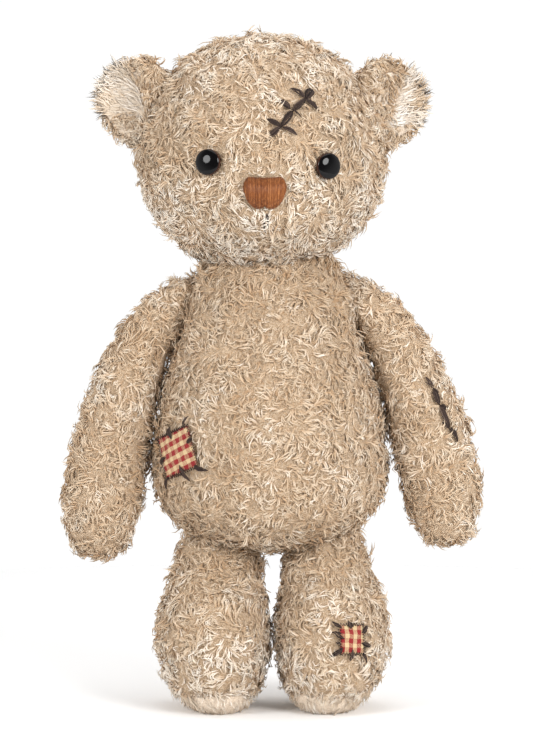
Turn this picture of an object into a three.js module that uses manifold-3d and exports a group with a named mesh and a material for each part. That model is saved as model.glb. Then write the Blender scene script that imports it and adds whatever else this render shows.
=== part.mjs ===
// A soft stuffed bear, 340 mm tall with its pile: sewn pile-fabric panels round polyester stuffing,
// safety eyes held by washers, a satin-stitched nose, gingham patches and mending stitches.
// Millimetres, +Z up, the bear faces -Y. The origin is on the floor under the middle of its bounds.
// The panels are modelled at the packed roots of the pile, which stands about 5 mm proud of them.
import * as THREE from "three";
import { mergeVertices } from "three/addons/utils/BufferGeometryUtils.js";
import Module from "manifold-3d";

const wasm = await Module();
wasm.setup();

// ---------------------------------------------------------------- driving dimensions
const FABRIC = 2.4; // thickness of a panel: knitted backing and the packed roots of its pile
const GAP = 0.3; // clearance between neighbouring pieces
const BIG = 400; // longer than the bear, for boxes that cut

const EYE_RADIUS = 6;
const EYE_HEIGHT = 4.2; // how far the domed bead stands off its seat
const EYE_STEM_RADIUS = 1.9;
const EYE_STEM_LENGTH = 11;
const WASHER_RADIUS = 7;
const WASHER_THICKNESS = 1.4;

const PATCH_THICKNESS = 0.7; // woven cotton
const THREAD = 1.1; // thickness of embroidery thread laid on the cloth
const SCAR_WIDTH = 3; // width of one bundle of mending thread
const WHIP_HALF = 1.1; // half width of a whip stitch round a patch, at the cloth
const WHIP_BAND = 1.6; // width of the thread over a patch's cut edge

// A soft form is a ball drawn out along its spine, from its low end to its high end. across and deep
// are half widths, evenly spaced along the spine, and blunt under 1 gives it squarer ends.
const HEAD = {
  spine: [[0, 0, 220.5], [0, 0, 277], [0, 0, 333.5]],
  across: [63, 61.5, 60, 58, 64],
  deep: [52, 56, 55, 53, 55],
  blunt: 1,
  around: 20,
  along: 14,
  swell: { amount: 10, x: 0, z: 243, wide: 27, high: 20, front: 20 }, // the muzzle, full from front on
};
const TORSO = {
  spine: [[0, 2, 81], [0, -3, 134], [0, 0, 188], [0, 2, 241]],
  across: [90, 79, 66, 57, 50.5, 46.5, 47.5, 49, 50],
  deep: [72, 62, 52, 46, 41.5, 39, 39, 39, 39],
  blunt: 1,
  around: 20,
  along: 12,
};
const RIGHT_ARM = {
  spine: [[-85.5, -7, 76], [-83, -6, 110], [-75.5, -3, 148], [-60, 0, 188], [-34, 2, 212]],
  across: [21.5, 20, 16, 13, 13],
  deep: [20, 19, 15.5, 14.5, 14],
  blunt: 0.62,
  around: 12,
  along: 10,
};
const LEFT_ARM = {
  ...RIGHT_ARM,
  spine: [[89.5, -7, 83], [85, -6, 118], [73.5, -3, 156], [58, 0, 190], [34, 2, 212]],
};
const RIGHT_LEG = {
  spine: [[-22.5, -8, -3], [-28.5, -8, 32], [-26, 0, 67], [-24, 2, 102]],
  across: [23, 25.4, 27.2, 27.6, 25.2, 21.5, 19.8, 20.5, 20],
  deep: [45, 42, 39, 36, 30, 24, 20.5, 19.5, 19],
  blunt: 0.62,
  around: 16,
  along: 10,
};
const LEFT_LEG = {
  ...RIGHT_LEG,
  spine: [[24.5, -8, -3], [31, -8, 32], [28.5, 0, 67], [25, 2, 102]],
};
const SOLE_TOP = 9; // height of the sole's edge over the floor
const SOLE_TILT = 3; // how much higher that edge is at the toe, in degrees

const STAND = new THREE.Vector3(-1.4, 3.5, 0); // brings the middle of the bounds over the origin
const HEAD_PLACE = new THREE.Vector3(-4, 0, 0);
const HEAD_TURN = 2.5; // degrees, the face looks a little to the bear's left
const GUSSET_HALF = 17; // half width of the strip from the nose over the crown to the nape
const NOSE_PLACE = { x: -1, z: 257.9 };
const NOSE = { wide: 21.5, high: 15.3, thick: 3.2 };
const MOUTH = { x: -0.4, drop: 14.2, length: 13, width: 1.6 };
const EYE_PLACES = { right: { x: -27.1, z: 272.6 }, left: { x: 29, z: 270.9 } };

const EAR = { half: [21, 9.5, 22], hollow: [15, 9, 16], out: 3, forward: 8.5, lining: 2.2 };
const EAR_PLACES = {
  right: { at: [-61, 2, 303], turn: -32, lean: -14 },
  left: { at: [61.5, 2, 302], turn: 32, lean: 14 },
};

// ---------------------------------------------------------------- solids
function solidOf(geometry) {
  const bare = geometry.clone();
  bare.deleteAttribute("normal");
  bare.deleteAttribute("uv");
  const merged = mergeVertices(bare, 1e-3);
  return new wasm.Manifold(
    new wasm.Mesh({
      numProp: 3,
      vertProperties: merged.attributes.position.array,
      triVerts: new Uint32Array(merged.index.array),
    }),
  );
}

function geometryOf(solid) {
  const mesh = solid.getMesh();
  const corners = new Float32Array(mesh.numVert * 3);
  for (let i = 0; i < mesh.numVert; i++)
    corners.set(mesh.vertProperties.subarray(i * mesh.numProp, i * mesh.numProp + 3), i * 3);
  const geometry = new THREE.BufferGeometry()
    .setAttribute("position", new THREE.BufferAttribute(corners, 3))
    .setIndex(new THREE.BufferAttribute(mesh.triVerts, 1))
    .toNonIndexed();
  geometry.computeVertexNormals();
  return geometry;
}

function moved(geometry, position, turn = [0, 0, 0]) {
  const matrix = new THREE.Matrix4().makeRotationFromEuler(
    new THREE.Euler(...turn.map(THREE.MathUtils.degToRad), "ZYX"),
  );
  return geometry.applyMatrix4(matrix.setPosition(...position));
}

// A box between two corners, for cutting.
function block(low, high) {
  const size = high.map((value, i) => value - low[i]);
  const middle = high.map((value, i) => (value + low[i]) / 2);
  return solidOf(moved(new THREE.BoxGeometry(...size), middle));
}

function ball(half, centre) {
  return solidOf(moved(new THREE.SphereGeometry(1, 14, 8).scale(...half), centre));
}

// A value at share 0 to 1 of an evenly spaced list, on a smooth curve.
function along(values, share) {
  const points = values.map((value) => new THREE.Vector3(value, 0, 0));
  return new THREE.CatmullRomCurve3(points).getPoint(share).x;
}

// The soft form as a solid, with its surface grown outwards, or inwards if grow is negative.
function softForm(form, grow = 0) {
  const path = new THREE.CatmullRomCurve3(form.spine.map((p) => new THREE.Vector3(...p)));
  const geometry = new THREE.SphereGeometry(1, form.around, form.along);
  const place = geometry.attributes.position;
  const back = new THREE.Vector3(0, 1, 0);
  const inset = Math.max(0, -grow) / path.getLength();
  for (let i = 0; i < place.count; i++) {
    const height = THREE.MathUtils.clamp(place.getY(i), -1, 1);
    const share = (1 + height) / 2;
    const ring = Math.sqrt(1 - height * height) ** form.blunt;
    const angle = Math.atan2(place.getZ(i), place.getX(i));
    const rise = path.getTangent(share);
    const side = new THREE.Vector3().crossVectors(back, rise).normalize();
    const front = new THREE.Vector3().crossVectors(rise, side).negate().normalize();
    const point = path
      .getPoint(inset + (1 - 2 * inset) * share)
      .addScaledVector(rise, height * Math.max(0, grow))
      .addScaledVector(side, ring * Math.cos(angle) * (along(form.across, share) + grow))
      .addScaledVector(front, ring * Math.sin(angle) * (along(form.deep, share) + grow));
    if (form.swell && point.y < 0) {
      const { amount, x, z, wide, high, front } = form.swell;
      const away = ((point.x - x) / wide) ** 2 + ((point.z - z) / high) ** 2;
      point.y -= amount * Math.exp(-away) * Math.min(1, -point.y / front);
    }
    place.setXYZ(i, point.x, point.y, point.z);
  }
  const solid = solidOf(geometry);
  return solid.volume() > 0 ? solid : solidOf(flipped(geometry));
}

function flipped(geometry) {
  const index = geometry.index.array;
  for (let i = 0; i < index.length; i += 3) [index[i], index[i + 1]] = [index[i + 1], index[i]];
  return geometry;
}

// The layer of a form between two heights over its surface, under an outline drawn on a plane that
// faces the bear's front and is turned to look at the surface there.
function laidOn(form, outline, { x, z, turn = 0, spin = 0, low = GAP, high = 1, y = 0, reach = 90 }) {
  const prism = new THREE.ExtrudeGeometry(outline, { depth: reach, bevelEnabled: false, curveSegments: 3 });
  const stand = new THREE.Matrix4()
    .makeRotationZ(THREE.MathUtils.degToRad(turn))
    .multiply(new THREE.Matrix4().makeRotationX(Math.PI / 2))
    .multiply(new THREE.Matrix4().makeRotationZ(THREE.MathUtils.degToRad(spin)));
  prism.applyMatrix4(stand).translate(x, y, z);
  return softForm(form, high).subtract(softForm(form, low)).intersect(solidOf(prism));
}

// ---------------------------------------------------------------- outlines
// A stitch: a long leaf of thread, pointed where it dives into the cloth.
function stitchOutline(length, width) {
  const shape = new THREE.Shape();
  shape.moveTo(-length / 2, 0);
  shape.quadraticCurveTo(-length / 4, width * 0.75, 0, width / 2);
  shape.quadraticCurveTo(length / 4, width * 0.6, length / 2, 0);
  shape.quadraticCurveTo(length / 4, -width * 0.75, 0, -width / 2);
  shape.quadraticCurveTo(-length / 4, -width * 0.6, -length / 2, 0);
  return shape;
}

function rectangle(wide, high) {
  const shape = new THREE.Shape();
  shape.moveTo(-wide / 2, -high / 2);
  shape.lineTo(wide / 2, -high / 2);
  shape.lineTo(wide / 2, high / 2);
  shape.lineTo(-wide / 2, high / 2);
  shape.closePath();
  return shape;
}

// The thread round a patch: a band over its cut edge, with a long whip stitch at every corner and
// in the middle of every side.
function whipOutline(wide, high, spike) {
  const shape = new THREE.Shape();
  const [w, h] = [(wide + WHIP_BAND) / 2, (high + WHIP_BAND) / 2];
  const half = WHIP_HALF;
  const corners = [[-1, -1], [1, -1], [1, 1], [-1, 1]];
  corners.forEach(([sx, sy], i) => {
    const [nx, ny] = corners[(i + 1) % 4];
    const [corner, next] = [[sx * w, sy * h], [nx * w, ny * h]];
    const run = Math.hypot(next[0] - corner[0], next[1] - corner[1]);
    const unit = [(next[0] - corner[0]) / run, (next[1] - corner[1]) / run];
    const out = [unit[1], -unit[0]];
    const at = (t, lift) => [0, 1].map((k) => corner[k] + unit[k] * t + out[k] * lift);
    if (i === 0) shape.moveTo(...at(half, 0));
    else shape.lineTo(...at(half, 0));
    shape.lineTo(...at(run / 2 - half, 0));
    shape.lineTo(...at(run / 2 + half * 0.4, spike));
    shape.lineTo(...at(run / 2 + half, 0));
    shape.lineTo(...at(run - half, 0));
    shape.lineTo(nx * (w + spike * 0.72), ny * (h + spike * 0.72));
  });
  shape.closePath();
  const hole = new THREE.Path();
  const [iw, ih] = [(wide - WHIP_BAND) / 2, (high - WHIP_BAND) / 2];
  hole.moveTo(-iw, -ih);
  hole.lineTo(-iw, ih);
  hole.lineTo(iw, ih);
  hole.lineTo(iw, -ih);
  hole.closePath();
  shape.holes.push(hole);
  return shape;
}

// Two rounded lobes under a flat top, with a small notch between them.
function noseOutline(wide, high) {
  const [w, h] = [wide / 2, high / 2];
  const shape = new THREE.Shape();
  shape.moveTo(0, h * 0.94);
  shape.lineTo(w * 0.72, h);
  shape.quadraticCurveTo(w, h * 0.95, w, h * 0.42);
  shape.bezierCurveTo(w * 0.98, -h * 0.4, w * 0.62, -h, w * 0.3, -h);
  shape.quadraticCurveTo(w * 0.12, -h, 0, -h * 0.86);
  shape.quadraticCurveTo(-w * 0.12, -h, -w * 0.3, -h);
  shape.bezierCurveTo(-w * 0.62, -h, -w * 0.98, -h * 0.4, -w, h * 0.42);
  shape.quadraticCurveTo(-w, h * 0.95, -w * 0.72, h);
  shape.closePath();
  return shape;
}

// ---------------------------------------------------------------- materials
function cloth(colour, roughness = 0.95) {
  return new THREE.MeshStandardMaterial({ color: colour, roughness, metalness: 0 });
}
const CURLY_PILE = cloth(0xcdb497);
const SHORT_PILE = cloth(0xe2d0b8);
const STUFFING = cloth(0xf1efea);
const EYE_PLASTIC = cloth(0x0b0a0a, 0.08);
const WASHER_PLASTIC = cloth(0xe6e6e2, 0.4);
const NOSE_THREAD = cloth(0xa96b42, 0.6);
const DARK_THREAD = cloth(0x3a302d, 0.8);
const GINGHAM = cloth(0xb5403f, 0.9);

const bear = new THREE.Group();
bear.position.copy(STAND);
const headGroup = new THREE.Group();
headGroup.position.copy(HEAD_PLACE);
headGroup.rotation.z = THREE.MathUtils.degToRad(HEAD_TURN);
headGroup.updateMatrix();
bear.add(headGroup);

// ---------------------------------------------------------------- mending
// x and z are where the cloth's normal through it starts, on the plane through y.
const BELLY_PATCH = { x: -19, z: 130, wide: 22.5, high: 20.5, turn: -40, spin: -20, spike: 5.5 };
const FOOT_PATCH = { x: 31, z: 38, wide: 12.5, high: 14, turn: 12, spin: 3, spike: 4 };
const FOREHEAD_SCAR = {
  group: headGroup,
  line: [[1.5, 284.5], [7, 289.5], [12.5, 297], [19, 302.5], [22.5, 307.5]],
  crossings: [
    [[0, 294], [15, 285.5]],
    [[6, 302.5], [17.5, 294.5]],
    [[12, 309], [26, 297.5]],
  ],
};
const LEFT_ARM_SCAR = {
  y: -3,
  turn: 42,
  line: [[65, 166.5], [68, 160.5], [70, 152.5], [75, 141.5], [78.5, 134]],
  crossings: [
    [[62.5, 163.5], [71, 158.5]],
    [[66, 154.5], [74, 150.5]],
    [[68.5, 144], [78.5, 137.5]],
  ],
};

function piece(name, solid, material, group = bear) {
  const mesh = new THREE.Mesh(geometryOf(solid), material);
  mesh.name = name;
  group.add(mesh);
  return mesh;
}

// A solid of the bear's own frame, as the turned head group sees it.
function inHeadFrame(solid) {
  return solidOf(geometryOf(solid).applyMatrix4(headGroup.matrix.clone().invert()));
}

// ---------------------------------------------------------------- torso
const torsoGrown = softForm(TORSO, GAP);

function buildTorso() {
  const shell = softForm(TORSO).subtract(softForm(TORSO, -FABRIC));
  const seam = GAP / 2;
  const quarters = {
    torso_front_right: [[-BIG, -BIG, -BIG], [-seam, -seam, BIG]],
    torso_front_left: [[seam, -BIG, -BIG], [BIG, -seam, BIG]],
    torso_back_right: [[-BIG, seam, -BIG], [-seam, BIG, BIG]],
    torso_back_left: [[seam, seam, -BIG], [BIG, BIG, BIG]],
  };
  for (const [name, [low, high]] of Object.entries(quarters))
    piece(name, shell.intersect(block(low, high)), CURLY_PILE);
  piece("torso_stuffing", softForm(TORSO, -FABRIC - GAP), STUFFING);
}

// ---------------------------------------------------------------- head
// Where a ray from the front meets a solid: the point and the surface's outward normal.
function frontOf(solid, x, z) {
  const target = new THREE.Mesh(geometryOf(solid), CURLY_PILE);
  const ray = new THREE.Raycaster(new THREE.Vector3(x, -BIG, z), new THREE.Vector3(0, 1, 0));
  const hit = ray.intersectObject(target)[0];
  return { point: hit.point, normal: hit.face.normal.clone() };
}

// A lathe profile turned to stand on a point and look along a direction.
function turnedOn(profile, point, direction, segments) {
  const geometry = new THREE.LatheGeometry(profile.map((p) => new THREE.Vector2(...p)), segments);
  const turn = new THREE.Quaternion().setFromUnitVectors(new THREE.Vector3(0, 1, 0), direction);
  const made = solidOf(geometry.applyQuaternion(turn).translate(point.x, point.y, point.z));
  return made.volume() > 0 ? made : solidOf(flipped(geometry));
}

function eyeProfile(grow = 0) {
  const [r, h, stem] = [EYE_RADIUS + grow, EYE_HEIGHT + grow, EYE_STEM_RADIUS + grow];
  const dome = [0, 15, 30, 45, 60, 75, 90].map((degrees) => {
    const angle = THREE.MathUtils.degToRad(degrees);
    return [r * Math.cos(angle), 0.8 + h * Math.sin(angle)];
  });
  dome[dome.length - 1][0] = 0;
  return [[0, -EYE_STEM_LENGTH - grow], [stem, -EYE_STEM_LENGTH - grow], [stem, -grow], [r, -grow], ...dome];
}

function washerProfile(grow = 0) {
  const [r, bore] = [WASHER_RADIUS + grow, EYE_STEM_RADIUS + GAP - grow];
  const [low, high] = [-FABRIC - WASHER_THICKNESS - 2 * GAP - grow, -FABRIC - 2 * GAP + grow];
  return [[bore, low], [r, low], [r, high], [bore + 1.2, high], [bore, high - 0.4], [bore, low]];
}

function buildHead() {
  const body = inHeadFrame(torsoGrown);
  const outer = softForm(HEAD).subtract(body);
  const inner = softForm(HEAD, -FABRIC);
  let shell = outer.subtract(inner);
  let stuffing = softForm(HEAD, -FABRIC - GAP).subtract(body);

  for (const [side, place] of Object.entries(EYE_PLACES)) {
    const { point, normal } = frontOf(softForm(HEAD), place.x, place.z);
    const seat = point.clone().addScaledVector(normal, GAP);
    piece(`${side}_eye`, turnedOn(eyeProfile(), seat, normal, 16), EYE_PLASTIC, headGroup);
    piece(`${side}_eye_washer`, turnedOn(washerProfile(), seat, normal, 14), WASHER_PLASTIC, headGroup);
    shell = shell.subtract(turnedOn(eyeProfile(GAP), seat, normal, 14));
    const [round, deep, front] = [WASHER_RADIUS + 1, -EYE_STEM_LENGTH - 1, 2];
    const pocket = [[0, deep], [round, deep], [round, front], [0, front]];
    stuffing = stuffing.subtract(turnedOn(pocket, seat, normal, 14));
    shell = shell.subtract(turnedOn(washerProfile(GAP), seat, normal, 14));
  }

  const strip = (half) =>
    block([-half, -BIG, NOSE_PLACE.z], [half, 0, BIG]).add(block([-half, -1, -BIG], [half, BIG, BIG]));
  piece("head_gusset", shell.intersect(strip(GUSSET_HALF)), CURLY_PILE, headGroup);
  const sides = shell.subtract(strip(GUSSET_HALF + GAP));
  const seam = GAP / 2;
  const right = sides.intersect(block([-BIG, -BIG, -BIG], [-seam, BIG, BIG]));
  const left = sides.intersect(block([seam, -BIG, -BIG], [BIG, BIG, BIG]));
  piece("head_side_right", right, CURLY_PILE, headGroup);
  piece("head_side_left", left, CURLY_PILE, headGroup);
  piece("head_stuffing", stuffing, STUFFING, headGroup);
}

function buildFace() {
  const nose = laidOn(HEAD, noseOutline(NOSE.wide, NOSE.high), { ...NOSE_PLACE, high: NOSE.thick });
  piece("nose", nose, NOSE_THREAD, headGroup);
  const place = { x: MOUTH.x, z: NOSE_PLACE.z - MOUTH.drop, spin: 88, high: GAP + THREAD };
  const mouth = laidOn(HEAD, stitchOutline(MOUTH.length, MOUTH.width), place);
  piece("mouth_stitch", mouth, DARK_THREAD, headGroup);
}

// A scar is a line of stitches, one between each two of its points, with stitches laid across it.
// Points are x and z on a plane through y that is turned to look along the cloth's normal.
function buildScar(name, form, { line, crossings, y = 0, turn = 0, group = bear }) {
  const lean = Math.cos(THREE.MathUtils.degToRad(turn));
  const stitch = ([from, to], layer) => {
    const [across, up] = [(to[0] - from[0]) * lean, to[1] - from[1]];
    const spin = THREE.MathUtils.radToDeg(Math.atan2(up, across));
    const outline = stitchOutline(Math.hypot(across, up) - GAP, SCAR_WIDTH);
    const place = { x: (from[0] + to[0]) / 2, z: (from[1] + to[1]) / 2, y, turn, spin };
    return laidOn(form, outline, { ...place, ...layer });
  };
  const lower = { low: GAP, high: GAP + THREAD };
  const upper = { low: 2 * GAP + THREAD, high: 2 * GAP + 2 * THREAD };
  for (let i = 1; i < line.length; i++)
    piece(`${name}_scar_run_${i}`, stitch([line[i - 1], line[i]], lower), DARK_THREAD, group);
  crossings.forEach((ends, i) => {
    piece(`${name}_scar_cross_${i + 1}`, stitch(ends, upper), DARK_THREAD, group);
  });
}

// An ear is a cup of curly pile, lined with short pile. The cup opens forwards and outwards, so its
// rim is thick on the side of the crown and thin on the outer side.
function buildEars() {
  const headGrown = softForm(HEAD, GAP);
  for (const [side, { at, turn, lean }] of Object.entries(EAR_PLACES)) {
    const place = (solid) => solidOf(moved(geometryOf(solid), at, [0, lean, turn])).subtract(headGrown);
    const middle = [Math.sign(at[0]) * EAR.out, -EAR.forward, 0];
    const hollow = (grow) => ball(EAR.hollow.map((half) => half + grow), middle);
    const back = ball(EAR.half, [0, 0, 0]).subtract(hollow(EAR.lining + GAP));
    const lining = ball(EAR.half, [0, 0, 0]).intersect(hollow(EAR.lining)).subtract(hollow(0));
    piece(`${side}_ear_back`, place(back), CURLY_PILE, headGroup);
    piece(`${side}_ear_lining`, place(lining), SHORT_PILE, headGroup);
  }
}

// ---------------------------------------------------------------- limbs
// The two panels of a limb, on either side of a seam plane that runs along it.
function buildArm(side, form) {
  const head = solidOf(geometryOf(softForm(HEAD, GAP)).applyMatrix4(headGroup.matrix));
  const free = (solid) => solid.subtract(torsoGrown).subtract(head);
  const shell = free(softForm(form).subtract(softForm(form, -FABRIC)));
  const seam = GAP / 2;
  const middle = form.spine[2][1];
  const front = block([-BIG, -BIG, -BIG], [BIG, middle - seam, BIG]);
  const back = block([-BIG, middle + seam, -BIG], [BIG, BIG, BIG]);
  piece(`${side}_arm_front`, shell.intersect(front), CURLY_PILE);
  piece(`${side}_arm_back`, shell.intersect(back), CURLY_PILE);
  piece(`${side}_arm_stuffing`, free(softForm(form, -FABRIC - GAP)), STUFFING);
}

function buildLeg(side, form) {
  const floor = block([-BIG, -BIG, 0], [BIG, BIG, BIG]);
  const outer = softForm(form).intersect(floor).subtract(torsoGrown);
  const inner = softForm(form, -FABRIC);
  const raised = (lift) => {
    const half = new THREE.BoxGeometry(BIG, BIG, BIG).translate(0, 0, BIG / 2);
    return solidOf(moved(half, [0, 0, SOLE_TOP + lift], [-SOLE_TILT, 0, 0]));
  };
  const upper = outer.subtract(inner).intersect(raised(GAP));
  const x = form.spine[1][0];
  const seam = GAP / 2;
  const [low, high] = [[-BIG, -BIG, -BIG], [BIG, BIG, BIG]];
  const right = upper.intersect(block(low, [x - seam, BIG, BIG]));
  const left = upper.intersect(block([x + seam, -BIG, -BIG], high));
  piece(`${side}_leg_${side === "right" ? "outer" : "inner"}`, right, CURLY_PILE);
  piece(`${side}_leg_${side === "right" ? "inner" : "outer"}`, left, CURLY_PILE);
  const lifted = block([-BIG, -BIG, FABRIC], [BIG, BIG, BIG]);
  const filled = softForm(form, -FABRIC - GAP).subtract(torsoGrown);
  const sole = outer.subtract(raised(0)).subtract(softForm(form, -FABRIC).intersect(lifted));
  piece(`${side}_sole`, sole, SHORT_PILE);
  piece(`${side}_leg_stuffing`, filled.intersect(block([-BIG, -BIG, FABRIC + GAP], high)), STUFFING);
}

// ---------------------------------------------------------------- patches
function buildPatch(name, form, { wide, high, spike, ...at }) {
  const patch = laidOn(form, rectangle(wide, high), { ...at, high: GAP + PATCH_THICKNESS });
  piece(`${name}_patch`, patch, GINGHAM);
  const layer = { low: 2 * GAP + PATCH_THICKNESS, high: 2 * GAP + PATCH_THICKNESS + THREAD };
  const thread = laidOn(form, whipOutline(wide, high, spike), { ...at, ...layer });
  piece(`${name}_patch_stitching`, thread, DARK_THREAD);
}

buildTorso();
buildHead();
buildFace();
buildScar("forehead", HEAD, FOREHEAD_SCAR);
buildEars();
buildArm("right", RIGHT_ARM);
buildArm("left", LEFT_ARM);
buildLeg("right", RIGHT_LEG);
buildLeg("left", LEFT_LEG);
buildPatch("belly", TORSO, BELLY_PATCH);
buildPatch("left_foot", LEFT_LEG, FOOT_PATCH);
buildScar("left_arm", LEFT_ARM, LEFT_ARM_SCAR);

export default bear;
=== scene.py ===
"""A threadbare stuffed bear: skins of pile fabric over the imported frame, covered in curled locks of
pile, with glossy safety eyes, a satin-stitched nose, gingham patches and mending stitches."""

import math

import bmesh
import bpy
import numpy as np
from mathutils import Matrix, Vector
from mathutils.bvhtree import BVHTree
from mathutils.kdtree import KDTree


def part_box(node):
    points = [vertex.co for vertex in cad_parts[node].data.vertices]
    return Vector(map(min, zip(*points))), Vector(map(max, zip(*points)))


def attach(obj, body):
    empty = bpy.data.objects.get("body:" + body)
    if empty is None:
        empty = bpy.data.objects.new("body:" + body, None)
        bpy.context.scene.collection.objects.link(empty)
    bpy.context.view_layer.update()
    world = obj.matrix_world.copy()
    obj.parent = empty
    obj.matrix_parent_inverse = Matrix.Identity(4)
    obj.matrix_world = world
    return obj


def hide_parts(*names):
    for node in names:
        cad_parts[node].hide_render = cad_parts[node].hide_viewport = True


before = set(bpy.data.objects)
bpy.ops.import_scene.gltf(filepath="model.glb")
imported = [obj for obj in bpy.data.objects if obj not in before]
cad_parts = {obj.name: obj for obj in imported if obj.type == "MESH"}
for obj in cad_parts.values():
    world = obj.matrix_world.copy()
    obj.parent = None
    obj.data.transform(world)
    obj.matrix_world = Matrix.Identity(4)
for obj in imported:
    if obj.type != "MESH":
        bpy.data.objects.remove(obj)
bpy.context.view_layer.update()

scene = bpy.context.scene
MM = 0.001
TONE_MAP = "OFBake"  # the UV map of threads and locks: tone across, root to tip upwards
WEAVE_MAP = "weave"  # the UV map of woven cloth, in shares of the piece's width and height


def linear(red, green, blue):
    """A colour given as eight-bit sRGB, as the shaders need it."""
    shares = [value / 255 for value in (red, green, blue)]
    return (*(s / 12.92 if s <= 0.04045 else ((s + 0.055) / 1.055) ** 2.4 for s in shares), 1.0)


# ---- finishes
class Wire:
    """A value on its way through nodes. Arithmetic on it adds the Math nodes."""

    def __init__(self, nodes, socket):
        self.nodes = nodes
        self.socket = socket

    def math(self, operation, *others, clamp=False):
        settings = {"operation": operation, "use_clamp": clamp}
        return self.nodes.node("ShaderNodeMath", settings, dict(enumerate(others)))

    def two_sided(operation):
        return lambda self, other: self.math(operation, self, other)

    __add__ = __radd__ = two_sided("ADD")
    __mul__ = __rmul__ = two_sided("MULTIPLY")
    __sub__ = two_sided("SUBTRACT")
    __lt__ = two_sided("LESS_THAN")

    def wrapped(self):
        return self.math("FLOORED_MODULO", self, 1.0)

    def clamped(self):
        return self.math("ADD", self, 0.0, clamp=True)

    def output(self, name):
        return Wire(self.nodes, self.socket.node.outputs[name])


class Nodes:
    """The nodes of a material or of the world."""

    def __init__(self, tree):
        self.tree = tree

    def node(self, kind, settings=None, inputs=None, output=0):
        made = self.tree.nodes.new(kind)
        for key, value in (settings or {}).items():
            setattr(made, key, value)
        for key, value in (inputs or {}).items():
            self.join(made.inputs[key], value)
        return Wire(self, made.outputs[output])

    def join(self, socket, value):
        if isinstance(value, Wire):
            self.tree.links.new(value.socket, socket)
        else:
            socket.default_value = value


class Finish(Nodes):
    """One material. Numbers that hold all over go in as constants, and feed joins what varies."""

    def __init__(self, name, **constants):
        self.material = bpy.data.materials.new(name)
        self.material.use_nodes = True
        super().__init__(self.material.node_tree)
        self.shader = self.tree.nodes["Principled BSDF"]
        for key, value in constants.items():
            self.feed(key.replace("_", " ").title().replace("Ior", "IOR"), value)

    def feed(self, name, value):
        self.join(self.shader.inputs[name], value)

    def mix(self, share, first, second):
        """A colour between two. Sockets 6 and 7 and output 2 are the node's colour ones."""
        inputs = {"Factor": share, 6: first, 7: second}
        return self.node("ShaderNodeMix", {"data_type": "RGBA"}, inputs, 2)

    def ramp(self, share, tones):
        made = self.node("ShaderNodeValToRGB", None, {0: share})
        elements = made.socket.node.color_ramp.elements
        elements[0].color, elements[1].color = linear(*tones[0][1:]), linear(*tones[-1][1:])
        for position, *colour in tones[1:-1]:
            elements.new(position).color = linear(*colour)
        return made

    def place(self):
        return self.node("ShaderNodeTexCoord").output("Object")

    def noise(self, scale, detail=2.0, roughness=0.5, distortion=0.0, stretch=(1.0, 1.0, 1.0)):
        factors = {0: self.place(), 1: stretch}
        place = self.node("ShaderNodeVectorMath", {"operation": "MULTIPLY"}, factors)
        inputs = {
            "Vector": place,
            "Scale": scale,
            "Detail": detail,
            "Roughness": roughness,
            "Distortion": distortion,
        }
        return self.node("ShaderNodeTexNoise", None, inputs)

    def across_and_up(self, name=TONE_MAP):
        """The two values of one of the piece's own maps."""
        at = self.node("ShaderNodeUVMap", {"uv_map": name})
        parts = self.node("ShaderNodeSeparateXYZ", None, {0: at})
        return parts.output("X"), parts.output("Y")

    def bump(self, height, strength, distance):
        inputs = {"Height": height, "Strength": strength, "Distance": distance}
        self.feed("Normal", self.node("ShaderNodeBump", None, inputs))


ROOTS_END = 1.6  # a lock has the tone of its tip from one part in this of its length on
RIM_TOP = 11.5 * MM  # how high the short pale pile of a sole's rim reaches up the toe
RIM_RISE = 0.14  # how much lower the rim gets towards the heel, for each metre back
RIM_BLUR = 300.0  # how sharply the rim's colour ends, for each metre of height
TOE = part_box("left_sole")[0].y
STRIPE = 0.53  # the red share of a check
TWILLS = 7.0  # twill lines to a check
RED_WEFT, RED_WARP = 0.66, 0.4  # the shares of twill that keep a single stripe red
YARNS = 12.0  # yarns to a check


def pile_finish(name, roots, tones, sheen):
    """Locks of pile: darker at the root, as painted shade deep in the pile, and each lock has its own
    tone.
    """
    made = Finish(
        name, roughness=0.85, sheen_weight=sheen, sheen_roughness=0.5, specular_ior_level=0.25
    )
    tone, height = made.across_and_up()
    tips = made.ramp(tone, tones)
    made.feed("Base Color", made.mix((height * ROOTS_END).clamped(), roots, tips))
    return made.material


def backing_finish(name, deep, pale, scale, bump, rim=None):
    """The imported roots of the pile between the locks, with a rim of its own colour over a sole."""
    made = Finish(name, roughness=0.95, sheen_weight=0.1, specular_ior_level=0.1)
    curls = made.noise(scale, 2.0, 0.5, 2.5)
    contrast = 2.6
    share = ((curls - 0.5) * contrast + 0.5).clamped()
    colour = made.mix(share, deep, pale)
    if rim:
        parts = made.node("ShaderNodeSeparateXYZ", None, {0: made.place()})
        over = parts.output("Z") + RIM_RISE * parts.output("Y") - (RIM_TOP + RIM_RISE * TOE)
        colour = made.mix((over * -RIM_BLUR).clamped(), colour, rim)
    made.feed("Base Color", colour)
    made.bump(curls, 1.0, bump)
    return made.material


def thread_finish(name, tones, roughness, sheen, contrast, scale, stretch):
    """Floss: each strand has its own tone, and its fibres make fine dashes along it."""
    made = Finish(name, roughness=roughness, sheen_weight=sheen, specular_ior_level=0.25)
    tone, _ = made.across_and_up()
    fibres = made.noise(scale, 2.0, stretch=(1.0, 1.0, stretch))
    made.feed("Base Color", made.ramp((tone + (fibres - 0.5) * contrast).clamped(), tones))
    made.feed("Roughness", roughness - 0.1 + 0.2 * fibres)
    made.bump(fibres, 0.25, 0.0002)
    return made.material


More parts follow.
